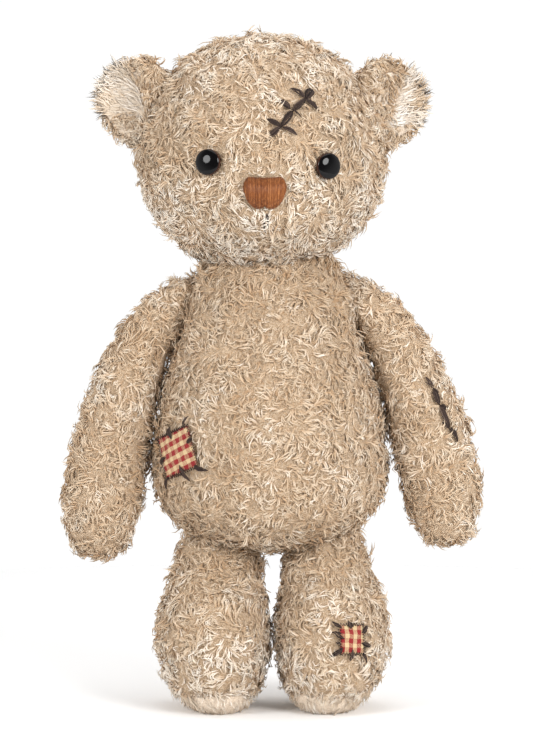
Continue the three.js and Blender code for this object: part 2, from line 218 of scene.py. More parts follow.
def gingham_finish(name, red, cream):
    """Woven checks: red and cream stripes both ways, with a twill of both where they cross."""
    made = Finish(name, roughness=0.9, sheen_weight=0.15, specular_ior_level=0.15)
    across, up = made.across_and_up(WEAVE_MAP)
    wobble = (made.noise(300.0) - 0.5) * 0.12
    warp = (across + wobble).wrapped() < STRIPE
    weft = (up - wobble).wrapped() < STRIPE
    twill = ((across + up) * TWILLS).wrapped()
    over, under = twill < RED_WEFT, twill < RED_WARP
    red_share = warp * weft + (weft - warp * weft) * over + (warp - warp * weft) * under
    worn = made.noise(1300.0, 3.0, 0.6)
    dusty = made.mix(0.06 * worn, red, cream)
    faded = made.mix(0.35 * worn, cream, linear(184, 152, 108))
    made.feed("Base Color", made.mix(red_share, faded, dusty))
    made.bump((across * YARNS).wrapped() + (up * YARNS).wrapped(), 0.35, 0.0002)
    return made.material


def plastic_finish(name, colour, rim):
    """Glossy moulded plastic, a little brown and thin-looking at its rim: painted light shining
    through the thin plastic there.
    """
    made = Finish(name, roughness=0.08, specular_ior_level=0.24)
    _, up = made.across_and_up()
    rim_ends, sharpness = 0.12, 4.0
    made.feed("Base Color", made.mix(((up - rim_ends) * sharpness).clamped(), rim, colour))
    return made.material


# Tones from the darkest lock or strand to the palest: the share of the way, and a colour.
CURLY_TIPS = (0.0, 178, 147, 115), (0.35, 206, 181, 152), (0.7, 225, 206, 182), (1.0, 246, 236, 222)
SHORT_TIPS = ((0.0, 198, 172, 142), (0.45, 233, 216, 195), (1.0, 251, 244, 235))
NOSE_TONES = ((0.0, 90, 44, 16), (0.5, 132, 75, 36), (1.0, 184, 121, 70))
DARK_TONES = ((0.0, 28, 19, 16), (0.5, 55, 41, 35), (1.0, 100, 82, 73))
# Their root colours, darker than most of the tips, are painted shade deep in the pile.
CURLY = pile_finish("curly_pile", linear(188, 150, 112), CURLY_TIPS, 0.06)
SHORT = pile_finish("short_pile", linear(222, 202, 180), SHORT_TIPS, 0.2)
CURLY_BACKING = backing_finish(
    "curly_backing",
    linear(176, 144, 110),
    linear(219, 196, 169),
    650.0,
    1.2 * MM,
    linear(236, 220, 202),
)
SHORT_BACKING = backing_finish(
    "short_backing", linear(214, 192, 168), linear(244, 229, 211), 600.0, 0.6 * MM
)
NOSE_FLOSS = thread_finish("nose_floss", NOSE_TONES, 0.42, 0.05, 1.2, 2000.0, 0.1)
DARK_FLOSS = thread_finish("dark_floss", DARK_TONES, 0.7, 0.02, 0.35, 2600.0, 1.0)
GINGHAM = gingham_finish("gingham", linear(142, 24, 36), linear(216, 192, 150))
# The eye's brown rim colour is painted light through the thin edge of the plastic.
EYE_PLASTIC = plastic_finish("eye_plastic", linear(4, 3, 4), linear(60, 34, 26))
WASHER = Finish("washer_plastic", roughness=0.4, base_color=linear(228, 228, 224)).material


# ---- pieces
def finished(piece, material, stands_for=()):
    """Gives a piece its finish, its body and the CAD nodes it stands for."""
    piece.data.materials.clear()
    piece.data.materials.append(material)
    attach(piece, "root")
    if stands_for:
        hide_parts(*stands_for)
    return piece


def in_scene(name, data):
    piece = bpy.data.objects.new(name, data)
    scene.collection.objects.link(piece)
    return piece


def smooth(mesh):
    mesh.polygons.foreach_set("use_smooth", [True] * len(mesh.polygons))


def only(piece):
    bpy.ops.object.select_all(action="DESELECT")
    piece.select_set(True)
    bpy.context.view_layer.objects.active = piece


def modify(piece, kind, **settings):
    only(piece)
    made = piece.modifiers.new(kind.lower(), kind)
    for key, value in settings.items():
        setattr(made, key, value)
    bpy.ops.object.modifier_apply(modifier=made.name)


def unit(vectors):
    return vectors / np.maximum(np.linalg.norm(vectors, axis=-1, keepdims=True), 1e-12)


def vertex_table(mesh, what):
    values = np.empty(len(mesh.vertices) * 3)
    mesh.vertices.foreach_get(what, values)
    return values.reshape(-1, 3)


def corners_of(node):
    """A CAD node's corners."""
    return vertex_table(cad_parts[node].data, "co")


def combed_down(normals, forward=0.0):
    """The way down along the skin at each normal, or a little to the front of it."""
    down = np.array([0.0, -forward, -1.0])
    return unit(down - normals * (normals @ down)[:, None])


CLEARANCE = 0.3 * MM  # over the floor
LUMP_SIZE = 6 * MM


def skin(name, nodes, voxel, rounds, swell, lump=0.0, dents=None):
    """One closed, smoothly stuffed skin over a part's solids, pressed in where things are sewn."""
    merged = bmesh.new()
    for node in nodes:
        merged.from_mesh(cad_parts[node].data)
    bmesh.ops.remove_doubles(merged, verts=merged.verts, dist=1e-6)
    mesh = bpy.data.meshes.new(name)
    merged.to_mesh(mesh)
    merged.free()
    piece = in_scene(name, mesh)
    modify(piece, "REMESH", mode="VOXEL", voxel_size=voxel)
    modify(piece, "SMOOTH", factor=0.6, iterations=rounds)
    mesh = piece.data
    points, normals = vertex_table(mesh, "co"), vertex_table(mesh, "normal")
    rise = swell + lump * swirl(points, LUMP_SIZE, 5)
    if dents:
        rise = rise * dents.share(points)
    points += normals * rise[:, None]
    points[:, 2] = np.maximum(points[:, 2], CLEARANCE)
    mesh.vertices.foreach_set("co", points.ravel())
    smooth(mesh)
    mesh.update()
    return piece


def mapped(mesh, name, places):
    """Gives a mesh a map of its own, from a place for each corner of each face."""
    layer = mesh.uv_layers.new(name=name)
    layer.uv.foreach_set("vector", np.asarray(places, np.float32).ravel())


def lookup(points):
    """A tree that finds the points nearest to a place."""
    tree = KDTree(len(points))
    for index, point in enumerate(points):
        tree.insert(point, index)
    tree.balance()
    return tree


class Places:
    """Points that the skin or the pile minds, each with a rule: how far and how much."""

    def __init__(self):
        self.points, self.rules = [], []

    def add(self, points, *rule):
        for point in points:
            self.points.append(tuple(point))
            self.rules.append(rule)

    def over(self, surface, points, *rule):
        self.add([surface.over(point)[0] for point in points], *rule)


class Dents(Places):
    """Where the skin is drawn in by what is sewn through it: a reach, and the swelling kept."""

    EASE = 2.2  # a dent has ended at this many times its reach

    def share(self, places):
        tree = lookup(self.points)
        shares = np.ones(len(places))
        for index, place in enumerate(places):
            _, which, distance = tree.find(place)
            reach, kept = self.rules[which]
            shares[index] = np.interp(distance, [reach, self.EASE * reach], [kept, 1.0])
        return shares


class Surface:
    """A skin's triangles, for rooting locks on it and for laying things over it."""

    def __init__(self, piece):
        mesh = piece.data
        mesh.calc_loop_triangles()
        self.points, self.normals = vertex_table(mesh, "co"), vertex_table(mesh, "normal")
        self.faces = np.empty(len(mesh.loop_triangles) * 3, int)
        mesh.loop_triangles.foreach_get("vertices", self.faces)
        self.faces = self.faces.reshape(-1, 3)
        self.tree = BVHTree.FromPolygons(self.points.tolist(), self.faces.tolist())

    def scatter(self, amount, rng, weight):
        """Roots spread evenly by area times weight, with the normal at each."""
        corners = self.points[self.faces]
        cross = np.cross(corners[:, 1] - corners[:, 0], corners[:, 2] - corners[:, 0])
        size = np.linalg.norm(cross, axis=1)
        share = size * weight(corners.mean(1), cross / np.maximum(size, 1e-12)[:, None])
        ends = np.cumsum(share) / share.sum()
        face = np.searchsorted(ends, (np.arange(amount) + rng.random(amount)) / amount)
        face = np.minimum(face, len(self.faces) - 1)
        first, second = rng.random((2, amount))
        over = first + second > 1
        first[over], second[over] = 1 - first[over], 1 - second[over]
        weights = np.stack([1 - first - second, first, second], 1)[:, :, None]
        roots = (self.points[self.faces[face]] * weights).sum(1)
        normals = (self.normals[self.faces[face]] * weights).sum(1)
        return roots, unit(normals)

    def over(self, point, lift=0.0):
        """The nearest place on the skin to a point, lifted off it."""
        place, normal, _, _ = self.tree.find_nearest(point)
        return np.array(place) + np.array(normal) * lift, np.array(normal)

    def holds(self, point, depth):
        """Whether a point lies deeper than this under the skin."""
        place, normal, _, _ = self.tree.find_nearest(point, 0.03)
        return place is not None and (Vector(point) - place).dot(normal) < -depth


# ---- what the pile keeps clear of
class Bare(Places):
    """Places that the pile is kept off, or cut and pushed aside round. A rule is the distance with
    no locks, the one with locks of full length, the share of length just past the first, and how
    strongly the locks lean away."""

    def care(self, roots):
        length = np.ones(len(roots))
        lean = np.zeros((len(roots), 3))
        tree = lookup(self.points)
        for index, root in enumerate(roots):
            for place, which, distance in tree.find_n(root, 3):
                bare, full, stub, push = self.rules[which]
                if distance >= full:
                    continue
                share = (distance - bare) / (full - bare)
                kept = 0.0 if share < 0 else stub + (1 - stub) * share
                length[index] = min(length[index], kept)
                away = np.array(root) - np.array(place)
                lean[index] += away / max(distance, 1e-6) * push * (1 - max(share, 0.0))
        return length, lean


# ---- pile
SOFTNESS = (0.2, 0.55)  # how far a lock is lit like the skin under it: on the sides, and in front

# Lengths in metres. Angles are off the skin, from the root's step to the tip's.
CURLS = {"rise": (40, 11, -10), "girth": (1.0, 0.85), "width": 0.00031, "length": 0.0071}
CURLS |= {"turn": 0.8, "swirl": 1.9, "stray": 0.5, "grain": 0.009, "strands": 3, "spread": 0.0006}
NAP = {"rise": (40, 20, 12), "girth": (1.0, 0.9), "width": 0.00028, "length": 0.0040}
NAP |= {"turn": 0.1, "swirl": 0.25, "stray": 0.24, "grain": 0.012, "strands": 2, "spread": 0.0005}
RIM = {**NAP, "length": 0.0024, "width": 0.0003, "swirl": 0.4, "rise": (34, 12, 0)}
FAN = {**NAP, "rise": (18, 6, 2), "length": 0.0080, "turn": 0.2, "swirl": 0.22, "width": 0.00034}
FAN["soft"] = (0.1, 0.75)
# How much one lock differs from the next, and the strands of a lock from each other, as standard
# deviations. Stand is in degrees.
LOCK = {"turn": 0.5, "size": 0.18, "tone": 0.15, "stand": 9}
STRAND = {"place": 0.7, "heading": 0.17, "turn": 0.15, "tone": 0.07, "stand": 7}
TONE_PATCHES = 12 * MM  # the size of patches of one tone
LEAST_LENGTH = 0.05  # locks cut to a smaller share of their length than this are left out
LAID_FLAT = 25  # how many degrees flatter a lock lies as it is cut down to nothing
ROOT_DEPTH = 0.6 * MM
HIDDEN_DEPTH = 0.8 * MM  # no lock is rooted deeper than this inside another skin
BACK_SHARE = 0.52  # how densely the pile is laid on the back, against the front


def front_first(middles, normals):
    return np.interp(normals[:, 1], [-0.3, 0.3], [1.0, BACK_SHARE])


def swirl(points, size, seed):
    """A smooth random value between about -1 and 1 that changes over this size."""
    rng = np.random.default_rng(seed)
    total = np.zeros(len(points))
    for _ in range(7):
        wave = rng.normal(0, 1, 3)
        wave *= 2 * math.pi / (size * 2.2 * rng.uniform(0.7, 1.5)) / np.linalg.norm(wave)
        total += np.sin(points @ wave + rng.uniform(0, 6.28))
    return total / 2.2


def grow(
    name, surface, locks, seed, look, bare, others=(), weight=front_first, comb=None, shade=None
):
    """Curled, tapering locks over a skin. Each is a few strands that curl together. The front and
    the back of a skin are a piece each."""
    rng = np.random.default_rng(seed)
    roots, normals = surface.scatter(locks, rng, weight)
    length, lean = bare.care(roots)
    kept = length > LEAST_LENGTH
    for index in np.flatnonzero(kept):
        kept[index] = not any(other.holds(roots[index], HIDDEN_DEPTH) for other in others)
    roots, normals, length, lean = roots[kept], normals[kept], length[kept], lean[kept]
    count = len(roots)

    def vary(how, what, shape):
        return rng.normal(0, how[what], shape)

    heading = look["swirl"] * swirl(roots, look["grain"], seed + 1) + vary(look, "stray", count)
    turn = 1.2 * swirl(roots, look["grain"] * 0.6, seed + 2) + vary(LOCK, "turn", count)
    turn = look["turn"] * turn
    size = look["length"] * length * np.exp(vary(LOCK, "size", count))
    tone = 0.5 + 0.13 * swirl(roots, TONE_PATCHES, seed + 3) + vary(LOCK, "tone", count)
    stand = vary(LOCK, "stand", count) - LAID_FLAT * (1 - length)

    strands = look["strands"]
    again = np.repeat(np.arange(count), strands)
    total = len(again)
    roots, normals, lean = roots[again], normals[again], lean[again]
    fall = comb(roots, normals) if comb else combed_down(normals, 0.3)
    side = np.cross(normals, fall)
    along = fall * vary(STRAND, "place", total)[:, None]
    aside = side * vary(STRAND, "place", total)[:, None]
    roots = roots + look["spread"] * (along + aside)
    heading = heading[again] + vary(STRAND, "heading", total)
    turn = turn[again] + vary(STRAND, "turn", total)
    size = size[again] * rng.uniform(0.8, 1.1, total)
    tone = tone[again] + vary(STRAND, "tone", total)
    # shade adds a tone by place: painted light and shade on the ears, the crown, the neck and the
    # feet.
    if shade:
        tone = tone + shade(roots)
    stand = stand[again] + vary(STRAND, "stand", total)

    steps = len(look["rise"])
    spine = np.empty((total, steps + 1, 3))
    spine[:, 0] = roots - normals * ROOT_DEPTH
    for step, angle in enumerate(look["rise"]):
        lift = np.radians(np.clip(angle + stand, -20, 85))
        way = heading + turn * (step - 0.5)
        flat = fall * np.cos(way)[:, None] + side * np.sin(way)[:, None]
        flat = unit(flat + lean - normals * (lean * normals).sum(1)[:, None])
        go = flat * np.cos(lift)[:, None] + normals * np.sin(lift)[:, None]
        spine[:, step + 1] = spine[:, step] + go * (size / steps)[:, None]
    spine[..., 2] = np.maximum(spine[..., 2], CLEARANCE)
    tone = np.clip(tone, 0.02, 0.98)
    facing = normals[:, 1] < 0
    halves = {"front": facing, "back": ~facing}
    return [
        in_scene(f"{name}_{half}", locks_mesh(name, spine[on], normals[on], tone[on], look))
        for half, on in halves.items()
        if on.any()
    ]


def locks_mesh(name, spine, normals, tone, look):
    """Many three-sided strands in one mesh, each closed, pointed at its root and at its tip."""
    count, stations = spine.shape[:2]
    rings = stations - 2
    along = unit(np.gradient(spine, axis=1))[:, 1:-1]
    first = unit(np.cross(along, normals[:, None]))
    second = np.cross(along, first)
    turns = np.arange(3) * 2 * math.pi / 3 + math.pi / 2
    size = np.array(look["girth"]) * look["width"]
    turns = turns[:, None]
    around = np.cos(turns) * first[:, :, None] + np.sin(turns) * second[:, :, None]
    rings_at = spine[:, 1:-1, None] + around * size[None, :, None, None]
    rings_at = rings_at.reshape(count, rings * 3, 3)
    points = np.concatenate([spine[:, :1], rings_at, spine[:, -1:]], 1)

    tip = rings * 3 + 1
    heights = [0.0, *np.repeat(np.arange(1, rings + 1) / (stations - 1), 3), 1.0]
    faces = [(0, 1 + (j + 1) % 3, 1 + j) for j in range(3)]
    for ring in range(rings - 1):
        low, high = 1 + ring * 3, 4 + ring * 3
        faces += [(low + j, low + (j + 1) % 3, high + (j + 1) % 3, high + j) for j in range(3)]
    faces += [(tip - 3 + j, tip - 3 + (j + 1) % 3, tip) for j in range(3)]
    corners = [corner for face in faces for corner in face]
    starts = np.cumsum([0] + [len(face) for face in faces[:-1]])

    each = points.shape[1]
    loops = (np.arange(count)[:, None] * each + np.array(corners)).ravel()
    firsts = (np.arange(count)[:, None] * len(corners) + starts).ravel()
    maps = np.empty((count, len(corners), 2))
    maps[..., 0] = tone[:, None] + 0.006 * (np.array(corners) % 3 - 1)
    maps[..., 1] = np.array(heights)[corners]

    mesh = bpy.data.meshes.new(name)
    mesh.vertices.add(count * each)
    mesh.vertices.foreach_set("co", points.astype(np.float32).ravel())
    mesh.loops.add(len(loops))
    mesh.loops.foreach_set("vertex_index", loops.astype(np.int32))
    mesh.polygons.add(len(firsts))
    mesh.polygons.foreach_set("loop_start", firsts.astype(np.int32))
    smooth(mesh)
    mapped(mesh, TONE_MAP, maps)
    mesh.update(calc_edges=True)
    own = vertex_table(mesh, "normal").reshape(count, each, 3)
    share = np.interp(np.abs(normals[:, 1]), [0.0, 0.7], look.get("soft", SOFTNESS))
    share = share[:, None, None]
    soft = unit(own * (1 - share) + normals[:, None] * share)
    mesh.normals_split_custom_set_from_vertices(soft.reshape(-1, 3).tolist())
    return mesh


# ---- thread
FLOSS_ARCH = 0.7 * MM  # how much higher a stitch lies in its middle
FLOSS_DIVE = 0.6 * MM  # how far its ends dive into the pile


def strand(path, radius, tone, sides=6, ends=0.35):
    """One strand of thread along a path: corners, faces and their map places."""
    path = np.asarray(path)
    count = len(path)
    along = unit(np.gradient(path, axis=0))
    up = np.array([0.0, -1.0, 0.15])
    first = unit(np.cross(along, up))
    second = np.cross(along, first)
    share = np.linspace(0, 1, count)
    size = radius * np.maximum(np.sin(share * math.pi) ** 0.5, ends)
    turns = (np.arange(sides) * 2 * math.pi / sides)[:, None]
    around = np.cos(turns) * first[:, None] + np.sin(turns) * second[:, None]
    points = [*(path[:, None] + around * size[:, None, None]).reshape(-1, 3), path[0], path[-1]]
    faces = []
    for ring in range(count - 1):
        low, high = ring * sides, (ring + 1) * sides
        for j in range(sides):
            k = (j + 1) % sides
            faces.append([low + j, low + k, high + k, high + j])
    last = (count - 1) * sides
    for j in range(sides):
        k = (j + 1) % sides
        faces.append([count * sides, k, j])
        faces.append([count * sides + 1, last + j, last + k])
    heights = [*np.repeat(share, sides), 0.0, 1.0]
    return points, faces, [(tone, heights[corner]) for face in faces for corner in face]


def stitched(name, strands, node, finish=DARK_FLOSS):
    """Strands as one piece of floss that stands for a CAD node."""
    points, faces, maps = [], [], []
    for some_points, some_faces, some_maps in strands:
        start = len(points)
        points += [tuple(p) for p in some_points]
        faces += [[corner + start for corner in face] for face in some_faces]
        maps += some_maps
    mesh = bpy.data.meshes.new(name)
    mesh.from_pydata(points, [], faces)
    smooth(mesh)
    mapped(mesh, TONE_MAP, maps)
    finished(in_scene(name, mesh), finish, [node])


def bundle(surface, start, end, width, lift, seed, count=6, bow=0.0, taper=0.8):
    """A stitch of floss over the pile: strands that spread in the middle and dive at the ends."""
    rng = np.random.default_rng(seed)
    start, end = np.array(start), np.array(end)
    share = np.linspace(0, 1, 9)
    _, normal = surface.over((start + end) / 2)
    along = unit(end - start)
    across = unit(np.cross(normal, along))
    strands = []
    for index in range(count):
        place = (index + 0.5) / count * 2 - 1 + rng.normal(0, 0.08)
        sway = rng.normal(0, 0.0001)
        path = []
        for t in share:
            belly = math.sin(math.pi * t) ** taper
            at = start + (end - start) * t
            at = at + across * (place * width / 2 * belly + bow * belly + sway * math.sin(6 * t))
            near, up = surface.over(at)
            arch = FLOSS_ARCH * belly * math.sqrt(max(0.0, 1 - 0.8 * place**2))
            path.append(near + up * (lift + arch - FLOSS_DIVE * (1 - belly)))
        tone = float(np.clip(rng.normal(0.45, 0.2), 0, 1))
        strands.append(strand(path, width / count * 0.78, tone))
    return strands


def ends_of(node):
    """The two ends of a long CAD node, lowest first."""
    points = corners_of(node)
    middle = points.mean(0)
    _, _, axes = np.linalg.svd(points - middle, full_matrices=False)
    along = (points - middle) @ axes[0]
    ends = [middle + axes[0] * along.min(), middle + axes[0] * along.max()]
    return sorted(ends, key=lambda point: point[2])


# ---- skins
SIDES = ("right", "left")
SKINS = {
    "torso": [f"torso_{end}_{side}" for end in ("front", "back") for side in SIDES],
    "head": ["head_gusset", "head_side_left", "head_side_right", "head_stuffing"],
}
SKINS["torso"].append("torso_stuffing")
for limb, panels in {"arm": ("front", "back"), "leg": ("outer", "inner")}.items():
    for side in SIDES:
        SKINS[f"{side}_{limb}"] = [f"{side}_{limb}_{end}" for end in (*panels, "stuffing")]
LOCKS = {"torso": 5700, "head": 6050, "arm": 1800, "leg": 2000}
# A skin's cell size, rounds of smoothing, how far it swells off its panels, and its lumps' height.
BODY_SKIN = (2.6 * MM, 9, 1.6 * MM, 0.45 * MM)
SIDE_SKINS = {
    "ear_back": (CURLY_BACKING, "curly_pile", (1.3 * MM, 5, 0.3 * MM)),
    "ear_lining": (SHORT_BACKING, "short_pile", (1.1 * MM, 4, 0.3 * MM)),
    "sole": (SHORT_BACKING, "short_pile", (1.6 * MM, 4, 1.0 * MM)),
}
# How far a dent reaches round what is sewn on, and the share of the swelling it keeps.
EYE_DENT = (7 * MM, 0.0)
FLAT_DENT = (2 * MM, 0.35)
SCAR_DENT = (1.5 * MM, 0.7)
SCARS = {"forehead": "head", "left_arm": "left_arm"}  # and the skins they are on
SCAR_RUNS, SCAR_CROSSINGS = 4, 3


def build_skins():
    """The skins of all body parts, by name, with dents under what is sewn on."""
    dents = Dents()
    for side in SIDES:
        dents.add([corners_of(f"{side}_eye").mean(0)], *EYE_DENT)
    for node in ("nose", "belly_patch", "left_foot_patch"):
        dents.add(corners_of(node), *FLAT_DENT)
    for name in SCARS:
        for node in scar_nodes(name):
            dents.add(corners_of(node), *SCAR_DENT)
    surfaces = {}
    for part, nodes in SKINS.items():
        made = skin(f"{part}_skin", nodes, *BODY_SKIN, dents)
        finished(made, CURLY_BACKING, nodes)
        surfaces[part] = Surface(made)
    for side in SIDES:
        for part, (backing, slot, shape) in SIDE_SKINS.items():
            node = f"{side}_{part}"
            made = skin(f"{node}_skin", [node], *shape)
            finished(made, backing, [node])
            surfaces[node] = Surface(made)
    return surfaces


def rim_share(middles):
    """Above 1 over the short pile round a sole, which is highest at the toe."""
    return middles[:, 2] / (RIM_TOP - RIM_RISE * (middles[:, 1] - TOE))


def above_rim(middles, normals):
    return front_first(middles, normals) * (rim_share(middles) > 0.9)


def on_rim(middles, normals):
    return (rim_share(middles) < 1.05) * (middles[:, 2] > 1 * MM)


def rim_down(roots, normals):
    """Combed outwards and down to the floor."""
    return combed_down(normals)


# The crease crosses the lining at start - slope * up, and chin is how high curls reach under it.
# Ridge, hollow and lobe are how much paler or darker the pile is there: a pale ridge and lobe as
# painted light, a dark hollow as painted shade, and the right ear, turned from the key lamp, painted
# darker.
EAR_EDGES = {
    "right": {"crease": (1.06, 0.6), "chin": 0.34, "ridge": -0.1, "hollow": 0.1, "lobe": 0.0},
    "left": {"crease": (0.78, 0.48), "chin": 0.2, "ridge": 0.4, "hollow": 0.3, "lobe": 0.62},
}
EAR_FOLD = 0.3  # how high up the lining its pile fans out from
EAR_RIM_WIDTH = 0.16  # of the lining's width
EAR_RIM_TOP = 0.85  # of its height


class Ear:
    """Smooth pile fans out over an ear's lining from the fold at its lower inner corner, curls
    fold over its top, and its outer rim is smooth."""

    def __init__(self, side):
        low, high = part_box(f"{side}_ear_lining")
        self.outer = high.x if high.x > 0 else low.x
        inner = low.x if high.x > 0 else high.x
        self.width = inner - self.outer
        self.bottom, self.height = low.z, high.z - low.z
        self.edge = EAR_EDGES[side]
        fold_height = low.z + self.height * EAR_FOLD
        self.fold = np.array([inner, (low.y + high.y) / 2, fold_height])
        self.deep = high.y - 3 * MM

    def shares(self, points):
        """Share of the way from the outer edge inwards, and from the bottom up."""
        return (points[:, 0] - self.outer) / self.width, (points[:, 2] - self.bottom) / self.height

    def past_crease(self, points):
        """How far a point lies from the crease on its smooth side, in shares of the width."""
        inwards, up = self.shares(points)
        start, slope = self.edge["crease"]
        return start - slope * up - inwards

    def smooth(self, points, normals):
        _, up = self.shares(points)
        return (self.past_crease(points) > 0) * (up > self.edge["chin"])

    def curly(self, points, normals):
        return 1.0 - self.smooth(points, normals)

    def outer_rim(self, points, normals):
        inwards, up = self.shares(points)
        between = (up > self.edge["chin"]) * (up < EAR_RIM_TOP)
        return (inwards < EAR_RIM_WIDTH) * between * (points[:, 1] < self.deep)

    def back(self, points, normals):
        return front_first(points, normals) * (1.0 - self.outer_rim(points, normals))

    def comb(self, roots, normals):
        out = roots - self.fold
        return unit(out - normals * (out * normals).sum(1)[:, None])

    def shade(self, roots):
        """Painted light and shade on the lining: the crease is palest as a painted highlight, the
        lobe under it pale as painted light, and the hollow between them darker as painted shade.
        """
        _, up = self.shares(roots)
        away = self.past_crease(roots)
        ridge = self.edge["ridge"] * (away < 0.2)
        lobe = self.edge["lobe"] * np.interp(up, [0.38, 0.46], [1.0, 0.0])
        return ridge + lobe - self.edge["hollow"] * np.interp(away, [0.2, 0.3], [0.0, 1.0])


# How much paler or darker the pile of a kind of part is at some heights, in metres over the floor.
# The paler crown is painted light from above and the darker neck is painted shade under the head; the
# paler feet are partly paler pile and partly painted light from the floor; the lower face is paler.
HEIGHT_TONES_AND_PAINTED_LIGHT = {
    "head": ((0.215, 0.262, 0.28, 0.325), (0.38, 0.3, 0.0, 0.22)),
    "torso": ((0.195, 0.235), (0.0, -0.22)),
    "arm": ((0.0, 1.0), (0.0, 0.0)),
    "leg": ((0.015, 0.07), (0.36, 0.0)),
}


def by_height(kind):
    heights, tones = HEIGHT_TONES_AND_PAINTED_LIGHT[kind]
    return lambda roots: np.interp(roots[:, 2], heights, tones)


def build_pile(surfaces, bare):
    def pile(name, on, locks, seed, look, **how):
        finish, slot = (CURLY, "curly_pile") if look is CURLS else (SHORT, "short_pile")
        for piece in grow(name, surfaces[on], locks, seed, look, bare, **how):
            finished(piece, finish)

    for index, part in enumerate(SKINS):
        kind = part.split("_")[-1]
        others = [surfaces[other] for other in SKINS if other != part]
        where = above_rim if kind == "leg" else front_first
        # The tone by height paints light on the crown and feet and shade on the neck, besides the
        # pile's own paler tones.
        how = {"others": others, "weight": where, "shade": by_height(kind)}
        pile(f"{part}_pile", part, LOCKS[kind], 100 + 10 * index, CURLS, **how)
    for index, side in enumerate(SIDES):
        ear = Ear(side)
        fan = {"others": [surfaces["head"]], "shade": ear.shade}
        for name, part, locks, seed, look, where, comb, how in (
            ("ear_pile", "ear_back", 620, 300, CURLS, ear.back, None, {}),
            ("ear_fringe", "ear_lining", 330, 305, CURLS, ear.curly, None, {}),
            ("ear_fan", "ear_lining", 820, 310, FAN, ear.smooth, ear.comb, fan),
            ("ear_rim", "ear_back", 260, 315, NAP, ear.outer_rim, ear.comb, {}),
            ("sole_nap", "sole", 450, 320, NAP, front_first, None, {}),
            ("rim_nap", "leg", 1150, 330, RIM, on_rim, rim_down, {}),
        ):
            how |= {"weight": where, "comb": comb}
            pile(f"{side}_{name}", f"{side}_{part}", locks, seed + index, look, **how)


# ---- face
EYE_RADIUS = 6.4 * MM
EYE_HEIGHT = 2.2 * MM
EYE_FLANGE = 2.0 * MM
NOSE_THREADS = 64
NOSE_EDGE = 0.9 * MM
NOSE_DOME = 3.4 * MM
NOSE_UNEVEN = 0.012  # of half the nose's height
# How the outline of the nose runs, in shares of its half width.
NOSE_CORNER = 0.72
NOSE_LOBE = 0.3


def eye_seat(side):
    """Where an eye sits on the head and the way it looks."""
    dome, washer = corners_of(f"{side}_eye"), corners_of(f"{side}_eye_washer")
    axis = unit(dome.mean(0) - washer.mean(0))
    apex = ((dome - dome.mean(0)) @ axis).max()
    return dome.mean(0) + axis * (apex - EYE_HEIGHT), axis


def build_eye(side, bare):
    """A domed bead with a thin flange, seated in the pile."""
    seat, axis = eye_seat(side)
    bpy.ops.mesh.primitive_uv_sphere_add(
        segments=40, ring_count=24, radius=EYE_RADIUS, calc_uvs=False
    )
    eye = bpy.context.object
    eye.name = f"{side}_eye_dome"
    bpy.ops.object.mode_set(mode="EDIT")
    bpy.ops.mesh.select_all(action="SELECT")
    bpy.ops.transform.resize(value=(1, 1, EYE_HEIGHT / EYE_RADIUS))
    bpy.ops.mesh.bisect(
        plane_co=(0, 0, 0), plane_no=(0, 0, 1), use_fill=True, clear_inner=True
    )
    bpy.ops.mesh.extrude_region_move(TRANSFORM_OT_translate={"value": (0, 0, -EYE_FLANGE)})
    bpy.ops.object.mode_set(mode="OBJECT")
    mesh = eye.data
    places = [mesh.vertices[loop.vertex_index].co for loop in mesh.loops]
    turns = [math.atan2(y, x) / (2 * math.pi) + 0.5 for x, y, _ in places]
    heights = [max(0.0, z) / EYE_HEIGHT for _, _, z in places]
    mapped(mesh, TONE_MAP, [(0.05 + 0.9 * turn, z) for turn, z in zip(turns, heights)])
    smooth(mesh)
    only(eye)
    eye.rotation_euler = Vector(axis).to_track_quat("Z", "Y").to_euler()
    eye.location = seat
    bpy.ops.object.transform_apply(location=True, rotation=True, scale=True)
    finished(eye, EYE_PLASTIC, [f"{side}_eye"])
    bare.add([seat], EYE_RADIUS * 0.92, EYE_RADIUS * 1.7, 0.5, 0.45)


def nose_top(share):
    """How high the nose reaches over its middle, at a share of its half width."""
    if share < NOSE_CORNER:
        return 0.95 + 0.05 * share / NOSE_CORNER
    return 1.0 - 0.62 * ((share - NOSE_CORNER) / (1 - NOSE_CORNER)) ** 2.4


def nose_bottom(share):
    """Two rounded lobes with a notch between them."""
    if share < NOSE_LOBE:
        return -0.84 - 0.16 * math.sin(share / NOSE_LOBE * math.pi / 2)
    past = (share - NOSE_LOBE) / (1 - NOSE_LOBE)
    return -1.12 * math.sqrt(max(0.0, 1 - past**2)) + 0.12


